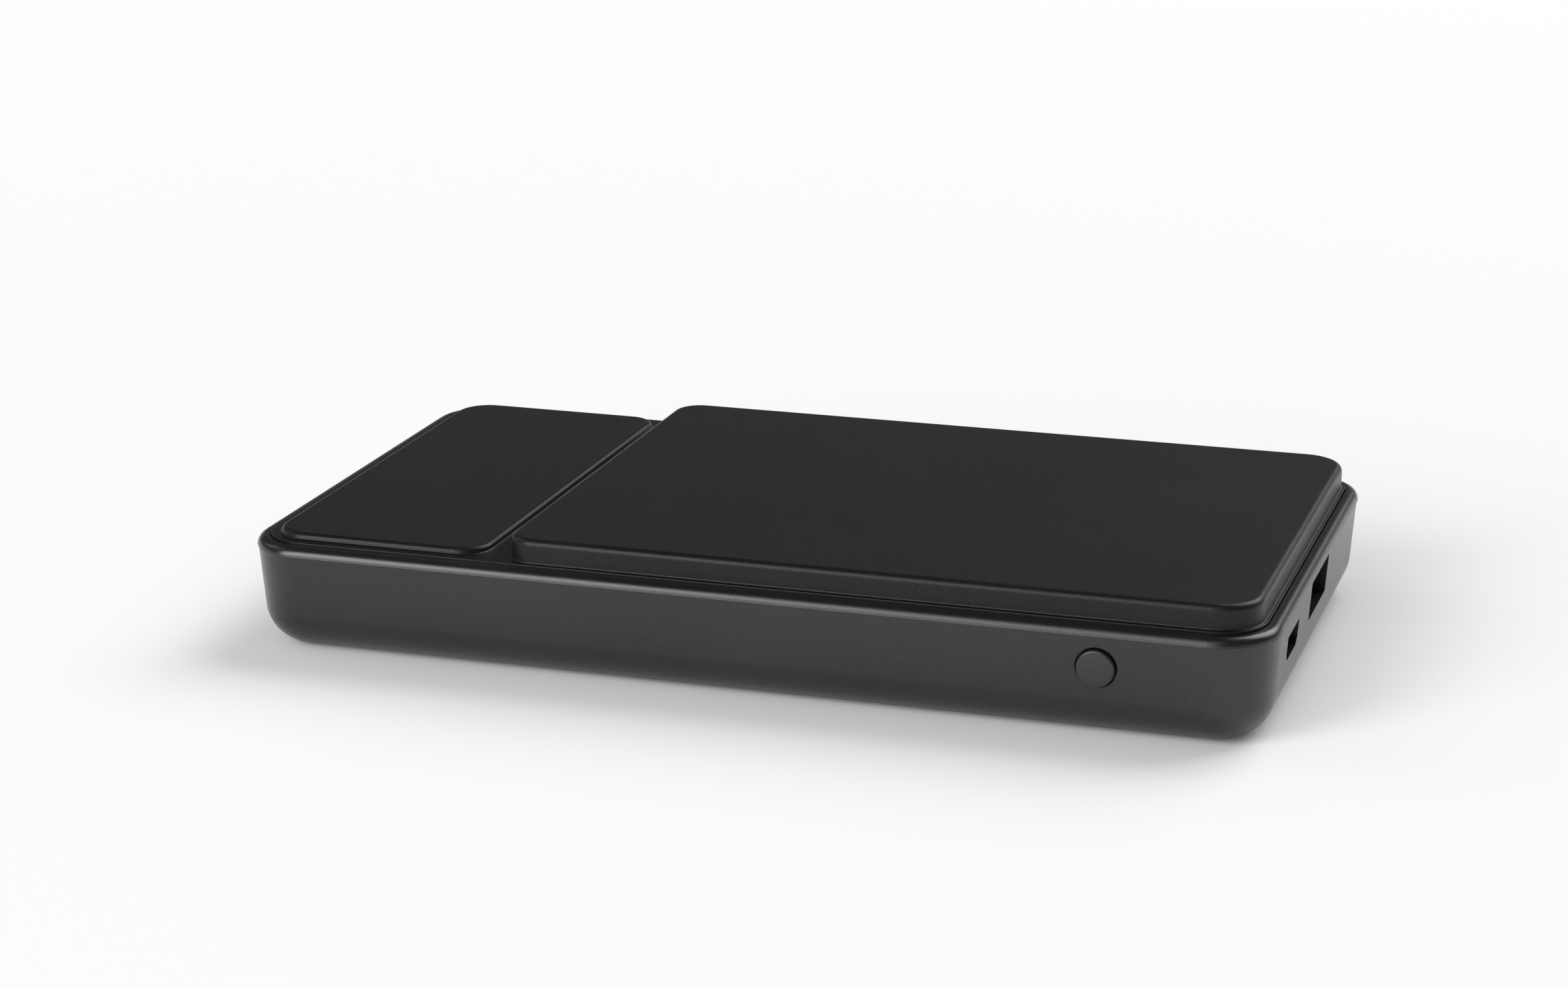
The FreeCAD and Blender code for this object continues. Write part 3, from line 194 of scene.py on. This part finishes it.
# Drawn metal: fine scratches along one direction, from noise squeezed across it, and slow stains. Along
# gives the scratches' features per metre in each axis.
drawn, ins, outs = shader_group(
    "drawn_metal",
    [("Place", "NodeSocketVector", None), ("Along", "NodeSocketVector", (40.0, 4000.0, 4000.0))],
    [("Scratches", "NodeSocketFloat"), ("Stains", "NodeSocketFloat")])
spot = ins.outputs["Place"]
squeezed = node(drawn, "ShaderNodeVectorMath", [(0, spot), (1, ins.outputs["Along"])], operation="MULTIPLY")
feed(outs, "Scratches", noise(drawn, squeezed.outputs["Vector"], scale=1.0, detail=4.0))
feed(outs, "Stains", noise(drawn, spot, scale=420.0, detail=3.0))


def plated(name, dark, light, smooth, rough, along):
    """Bare or plated metal: drawn scratches in its gloss and bump, and faint stains in its colour."""
    made, tree, shader, place = finish(name, rough, metallic=1.0)
    effect = node(tree, "ShaderNodeGroup", [("Place", place), ("Along", along)], node_tree=drawn)
    feed(shader, "Base Color", tint(tree, contrast(tree, effect.outputs["Stains"]), dark, light))
    feed(shader, "Roughness", contrast(tree, effect.outputs["Scratches"], smooth, rough))
    bump(tree, shader, effect.outputs["Scratches"], depth=5 * micron, strength=0.4)
    return made


dress(plated("tinned_sleeve", dark=(0.5, 0.5, 0.5), light=(0.62, 0.62, 0.63), smooth=0.25, rough=0.42,
             along=(40.0, 4000.0, 4000.0)), "input_port_shell", "output_port_shell")
dress(plated("gold_contact", dark=(0.78, 0.56, 0.25), light=(0.88, 0.68, 0.34), smooth=0.18, rough=0.32,
             along=(60.0, 5000.0, 5000.0)), "input_port_contacts", "output_port_contacts")
dress(moulded("tongue_black", dark=(0.012, 0.012, 0.0122), light=(0.018, 0.018, 0.0182),
              roughness=0.5, pit_depth=10 * micron), "input_port_tongue", "output_port_tongue")

# Switch
# A small tactile switch soldered to the board's edge: a pressed steel cover and a plunger moulded in white
# nylon.
dress(plated("pressed_cover", dark=(0.48, 0.48, 0.49), light=(0.6, 0.6, 0.61), smooth=0.28, rough=0.45,
             along=(3000.0, 60.0, 3000.0)), "switch_body")
dress(moulded("nylon_plunger", dark=(0.62, 0.6, 0.54), light=(0.72, 0.7, 0.64),
              roughness=0.45, pit_depth=10 * micron), "switch_plunger")

# Circuit boards
# Glass-epoxy boards with green lacquer over etched copper, cut from one panel. The lacquer stands a little
# proud over the tracks, which are square rings round scattered points, a little under a millimetre apart.
cells_per_metre = (620.0, 480.0, 0.0)
lanes_per_cell = 4.0
track_edge, track_full = 0.42, 0.55
lacquer, tree, shader, place = finish("green_lacquer", roughness=0.35)
grid = node(tree, "ShaderNodeMapping", [("Vector", place), ("Scale", cells_per_metre)])
rings = node(tree, "ShaderNodeTexVoronoi", feature="F1", distance="CHEBYCHEV",
             links=[("Vector", grid.outputs["Vector"]), ("Scale", 1.0), ("Randomness", 0.8)])
lanes = maths(tree, "PINGPONG", maths(tree, "MULTIPLY", rings.outputs["Distance"], lanes_per_cell), 1.0)
copper = spread(tree, lanes, track_edge, track_full)
feed(shader, "Base Color", tint(tree, copper, (0.008, 0.07, 0.03), (0.016, 0.12, 0.05)))
feed(shader, "Roughness", spread(tree, copper, 0.0, 1.0, to_low=0.42, to_high=0.3))
bump(tree, shader, copper, depth=30 * micron, strength=0.5)
dress(lacquer, "main_board", "protection_board")

# Parts on the board
# Reflow-soldered: a ferrite converter coil, three black epoxy chips, and ceramic capacitors with tinned
# ends. The plate behind the charging coil is pressed from the same ferrite.
dress(moulded("chip_epoxy", dark=(0.014, 0.014, 0.0145), light=(0.022, 0.022, 0.0225),
              roughness=0.6, pit_depth=10 * micron), "charge_chip", "output_chip", "coil_chip")
dress(moulded("pressed_ferrite", dark=(0.04, 0.04, 0.042), light=(0.065, 0.065, 0.068),
              roughness=0.55, pit_depth=30 * micron), "power_inductor", "ferrite_plate")

row_low, row_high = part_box("board_capacitors")
capacitor_length = row_high.y - row_low.y
tin_edge, tin_full = 0.34 * capacitor_length, 0.36 * capacitor_length
fired, tree, shader, place = finish("fired_ceramic", roughness=0.4)
along = node(tree, "ShaderNodeSeparateXYZ", [("Vector", place)]).outputs["Y"]
from_middle = maths(tree, "ABSOLUTE", maths(tree, "SUBTRACT", along, (row_low.y + row_high.y) / 2))
ends = spread(tree, from_middle, tin_edge, tin_full)
ceramic = tint(tree, noise(tree, place, scale=2600.0, detail=3.0), (0.28, 0.17, 0.08), (0.42, 0.28, 0.15))
feed(shader, "Base Color", tint(tree, ends, ceramic, (0.6, 0.6, 0.6)))
feed(shader, "Metallic", ends)
dress(fired, "board_capacitors")

# Battery
# Two lithium-polymer pouches in aluminium-laminated foil, wrinkled a little where the foil was drawn, on
# black foam pads under a kraft insulation sheet. Nickel straps are spot-welded from the cells to the board.
foil, tree, shader, place = finish("laminated_foil", roughness=0.35, metallic=0.85)
creases = noise(tree, place, scale=130.0, detail=5.0, distortion=0.8)
sheen = noise(tree, place, scale=1500.0, detail=2.0)
feed(shader, "Base Color", tint(tree, sheen, (0.5, 0.51, 0.53), (0.62, 0.63, 0.65)))
feed(shader, "Roughness", contrast(tree, creases, to_low=0.28, to_high=0.44))
bump(tree, shader, creases, depth=300 * micron, strength=0.4)
dress(foil, "battery_cell_front", "battery_cell_back")

dress(plated("nickel_strap", dark=(0.58, 0.56, 0.5), light=(0.68, 0.66, 0.6), smooth=0.25, rough=0.4,
             along=(60.0, 4000.0, 4000.0)), "battery_straps")

foam, tree, shader, place = finish("open_foam", roughness=0.9)
pores = node(tree, "ShaderNodeTexVoronoi", [("Vector", place), ("Scale", 2200.0)]).outputs["Distance"]
feed(shader, "Base Color", tint(tree, pores, (0.012, 0.012, 0.012), (0.05, 0.05, 0.05)))
bump(tree, shader, pores, depth=200 * micron, strength=0.8)
dress(foam, "battery_pads")

kraft, tree, shader, place = finish("kraft_sheet", roughness=0.75)
stretched = node(tree, "ShaderNodeMapping", [("Vector", place), ("Scale", (500.0, 3800.0, 1000.0))])
fibres = noise(tree, stretched.outputs["Vector"], scale=1.0, detail=5.0)
feed(shader, "Base Color", tint(tree, fibres, (0.3, 0.2, 0.1), (0.52, 0.38, 0.21)))
bump(tree, shader, fibres, depth=30 * micron, strength=0.5)
dress(kraft, "insulation_sheet")

# Charging coil
# Stranded copper wire wound flat in one layer, lacquered and taped under the platform, with a pressed
# ferrite disc behind it and two sleeved ends down to the board.
ring_low, ring_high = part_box("charging_coil")
eye_radius = 0.0105
rim_radius = (ring_high.x - ring_low.x) / 2
turns = 9
packing = 0.97
wire_half = (rim_radius - eye_radius) / turns / 2 * packing
height_half = (ring_high.z - ring_low.z) / 2


def flat_spiral(inner, outer, turns, half_width, half_height, centre, around=16, steps=110):
    """A flat winding: the path's radius grows evenly with its angle, and a round-cornered section is
    carried along it, half_width across and half_height up. The section is a circle whose cosine and sine
    are each raised to a power under 1, with their signs kept, which squares it off."""
    squareness = 0.6
    angle = np.linspace(0.0, turns * 2 * math.pi, turns * steps + 1)
    radius = inner + half_width + (outer - inner - 2 * half_width) * angle / angle[-1]
    ring = np.linspace(0.0, 2 * math.pi, around, endpoint=False)
    across = np.sign(np.cos(ring)) * np.abs(np.cos(ring)) ** squareness * half_width
    up = np.sign(np.sin(ring)) * np.abs(np.sin(ring)) ** squareness * half_height
    reach = radius[:, None] + across[None, :]
    points = np.stack([centre.x + reach * np.cos(angle)[:, None], centre.y + reach * np.sin(angle)[:, None],
                       np.broadcast_to(centre.z + up[None, :], reach.shape)], -1)
    index = np.arange(points.shape[0] * around).reshape(-1, around)
    following = np.roll(index, -1, axis=1)
    sides = np.stack([index[:-1], following[:-1], following[1:], index[1:]], -1).reshape(-1, 4)
    faces = [tuple(face) for face in sides[:, ::-1].tolist()]
    return points.reshape(-1, 3), faces + [tuple(index[0].tolist()), tuple(index[-1][::-1].tolist())]


def add(name, data):
    """A new object at the origin, in the scene."""
    made = bpy.data.objects.new(name, data)
    bpy.context.scene.collection.objects.link(made)
    return made


centre = (ring_low + ring_high) / 2
points, faces = flat_spiral(eye_radius, rim_radius, turns, wire_half, height_half, centre)
winding_mesh = bpy.data.meshes.new("coil_winding")
winding_mesh.from_pydata(points.tolist(), [], faces)
winding_mesh.shade_smooth()
winding_mesh.materials.append(
    plated("lacquered_copper", dark=(0.52, 0.2, 0.09), light=(0.68, 0.29, 0.14), smooth=0.22, rough=0.38,
           along=(900.0, 900.0, 4200.0)))
winding = add("coil_winding", winding_mesh)
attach(winding, "case")
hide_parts("charging_coil")

sleeving, tree, shader, place = finish("red_sleeving", roughness=0.45)
scuff = noise(tree, place, scale=1800.0, detail=3.0)
feed(shader, "Base Color", tint(tree, scuff, (0.24, 0.014, 0.012), (0.34, 0.024, 0.02)))
feed(shader, "Roughness", contrast(tree, scuff, to_low=0.4, to_high=0.52))
dress(sleeving, "coil_leads", "solar_leads")

# Tapes
# Die-cut double-sided tape on a white tissue carrier, under the lid, over the coil and behind the solar
# panel.
tissue, tree, shader, place = finish("tissue_tape", roughness=0.7)
weave = noise(tree, place, scale=3500.0, detail=5.0, roughness=0.7)
feed(shader, "Base Color", tint(tree, weave, (0.6, 0.6, 0.58), (0.8, 0.8, 0.78)))
bump(tree, shader, weave, depth=30 * micron, strength=0.5)
dress(tissue, "lid_tape", "coil_tape", "solar_tape")

# Solar panel
# A row of monocrystalline strips soldered on a dark board under a clear resin cover. Each strip has printed
# silver: one bus along its middle and fine fingers across it.
strip_low, strip_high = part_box("solar_cells")
strips = 12
strip_gap = 0.0005
pitch = (strip_high.x - strip_low.x + strip_gap) / strips
bus_half, bus_blur = 0.0004, 0.0001
finger_pitch = 0.0018
finger_half, finger_blur = 0.00006, 0.00004
silicon, tree, shader, place = finish("silicon_strips", roughness=0.25)
across = node(tree, "ShaderNodeSeparateXYZ", [("Vector", place)])
from_gap = maths(tree, "ADD", across.outputs["X"], strip_gap / 2 - strip_low.x)
from_gap = maths(tree, "PINGPONG", from_gap, pitch / 2)
bus_from = pitch / 2 - bus_half
bus = spread(tree, from_gap, bus_from - bus_blur, bus_from)
from_bare = maths(tree, "PINGPONG", across.outputs["Y"], finger_pitch / 2)
finger_from = finger_pitch / 2 - finger_half
finger = spread(tree, from_bare, finger_from - finger_blur, finger_from)
silver = maths(tree, "MAXIMUM", bus, finger)
crystal = tint(tree, noise(tree, place, scale=90.0, detail=4.0), (0.004, 0.008, 0.03), (0.008, 0.014, 0.05))
feed(shader, "Base Color", tint(tree, silver, crystal, (0.55, 0.56, 0.58)))
feed(shader, "Roughness", spread(tree, silver, 0.0, 1.0, to_low=0.22, to_high=0.45))
feed(shader, "Metallic", silver)
dress(silicon, "solar_cells")

dress(moulded("panel_backing", dark=(0.006, 0.008, 0.014), light=(0.01, 0.012, 0.02),
              roughness=0.4, pit_depth=10 * micron), "solar_board")

resin, tree, shader, place = finish("clear_resin", roughness=0.06)
shader.inputs["Transmission Weight"].default_value = 1.0
shader.inputs["IOR"].default_value = 1.49
ripple = noise(tree, place, scale=60.0, detail=2.0)
feed(shader, "Base Color", tint(tree, ripple, (0.93, 0.95, 0.97), (0.97, 0.98, 0.99)))
feed(shader, "Roughness", contrast(tree, ripple, to_low=0.03, to_high=0.09))
dress(resin, "solar_cover")

# Screws
# Zinc-plated steel screws with flat heads, cold-headed and thread-rolled: four in the rim's ears, four in
# the board.
dress(plated("zinc_steel", dark=(0.4, 0.41, 0.42), light=(0.52, 0.53, 0.54), smooth=0.3, rough=0.45,
             along=(2500.0, 2500.0, 600.0)), "case_screws", "board_screws")

# Floor, lights and camera
# A white paper sweep under a dim ceiling. A key light and two softboxes stand in front on the left, a weak
# one on the left and a large one behind on the right. The camera stands where the photo was taken from.
white = (1.0, 1.0, 1.0, 1.0)
floor_half = 6.0
floor_corners = [(-floor_half, -floor_half, 0.0), (floor_half, -floor_half, 0.0),
                 (floor_half, floor_half, 0.0), (-floor_half, floor_half, 0.0)]
floor_mesh = bpy.data.meshes.new("floor")
floor_mesh.from_pydata(floor_corners, [], [(0, 1, 2, 3)])
floor = add("floor", floor_mesh)


def seen_rays(tree):
    """1 for the rays that show the background: from the camera, off gloss or through clear resin."""
    path = node(tree, "ShaderNodeLightPath")
    mirrored = maths(tree, "MAXIMUM", path.outputs["Is Glossy Ray"], path.outputs["Is Transmission Ray"])
    return maths(tree, "MAXIMUM", path.outputs["Is Camera Ray"], mirrored)


# The paper keeps the bank's shadow near it, and fades to plain white further out, where it is background.
# A small glow brings the lit paper up to white for the rays that show it.
shadow_reach, white_from = 0.1, 0.7
glow = 0.05
paper, tree, shader, place = finish("paper_sweep", roughness=0.8)
shader.inputs["Specular IOR Level"].default_value = 0.0
shader.inputs["Emission Color"].default_value = white
fibre = noise(tree, place, scale=900.0, detail=3.0)
feed(shader, "Base Color", tint(tree, fibre, (0.95, 0.95, 0.95), (0.98, 0.98, 0.98)))
seen = seen_rays(tree)
feed(shader, "Emission Strength", spread(tree, seen, 0.0, 1.0, to_high=glow))
away = node(tree, "ShaderNodeVectorMath", [(0, place)], operation="LENGTH").outputs["Value"]
clear = maths(tree, "MULTIPLY", seen, spread(tree, away, shadow_reach, white_from))
background = node(tree, "ShaderNodeEmission", [("Color", white), ("Strength", 1.0)])
sweep = node(tree, "ShaderNodeMixShader",
             [("Fac", clear), (1, shader.outputs["BSDF"]), (2, background.outputs["Emission"])])
feed(tree.nodes["Material Output"], "Surface", sweep.outputs["Shader"])
floor_mesh.materials.append(paper)

# The room: an even fill for the object, and for gloss a white wall that ends in the ceiling, by the sine of
# the elevation. The camera sees white.
fill = 0.25
wall, ceiling = 1.0, 0.08
ceiling_from = 0.14
world = bpy.data.worlds.new("studio")
bpy.context.scene.world = world
world.use_nodes = True
tree = world.node_tree
sky = tree.nodes["Background"]
sky.inputs["Color"].default_value = white
heading = node(tree, "ShaderNodeTexCoord").outputs["Generated"]
elevation = node(tree, "ShaderNodeSeparateXYZ", [("Vector", heading)]).outputs["Z"]
room = spread(tree, elevation, 0.0, ceiling_from, wall, ceiling)
lit = node(tree, "ShaderNodeMix", [("Factor", seen_rays(tree)), ("A", fill), ("B", room)]).outputs["Result"]
camera_rays = node(tree, "ShaderNodeLightPath").outputs["Is Camera Ray"]
strength = node(tree, "ShaderNodeMix", [("Factor", camera_rays), ("A", lit), ("B", 1.0)]).outputs["Result"]
feed(sky, "Strength", strength)


def softbox(name, place, width, height, power, colour):
    """A rectangular area light that faces the middle of the bank."""
    middle = Vector((0.0, 0.0, 0.01))
    lamp = bpy.data.lights.new(name, "AREA")
    lamp.shape = "RECTANGLE"
    lamp.size = width
    lamp.size_y = height
    lamp.energy = power
    lamp.color = colour
    made = add(name, lamp)
    made.location = place
    made.rotation_mode = "QUATERNION"
    made.rotation_quaternion = (middle - Vector(place)).to_track_quat("-Z", "Y")


warm = (1.0, 0.995, 0.97)
cool = (0.97, 0.985, 1.0)
softbox("key_left", place=(-1.55, -2.22, 1.3), width=1.3, height=1.8, power=34.0, colour=warm)
softbox("front_strip", place=(-0.95, -2.63, 0.92), width=2.4, height=1.6, power=28.0, colour=warm)
softbox("front_high", place=(-0.57, -2.12, 2.4), width=2.6, height=1.2, power=9.0, colour=warm)
softbox("side_left", place=(-2.58, 0.23, 1.88), width=1.6, height=1.6, power=6.0, colour=cool)
softbox("back_right", place=(1.3, 2.1, 2.4), width=2.6, height=2.6, power=76.0, colour=cool)

# The camera's place and directions, fitted to the straight edges of the bank.
camera_place = Vector((0.1348, -0.4285, 0.15304))
ahead = Vector((-0.29654, 0.91029, -0.28886)).normalized()
right = Vector((0.95129, 0.30824, -0.00521))
right = (right - ahead * right.dot(ahead)).normalized()
upward = right.cross(ahead)
facing = Matrix((right, upward, -ahead)).transposed().to_4x4()
lens = bpy.data.cameras.new("camera")
lens.sensor_fit = "HORIZONTAL"
lens.sensor_width = 36.0
lens.lens = 77.6
lens.shift_x = -0.00062
lens.clip_start = 0.01
camera = add("camera", lens)
camera.matrix_world = Matrix.Translation(camera_place) @ facing
bpy.context.scene.camera = camera
bpy.context.scene.view_settings.view_transform = "Standard"
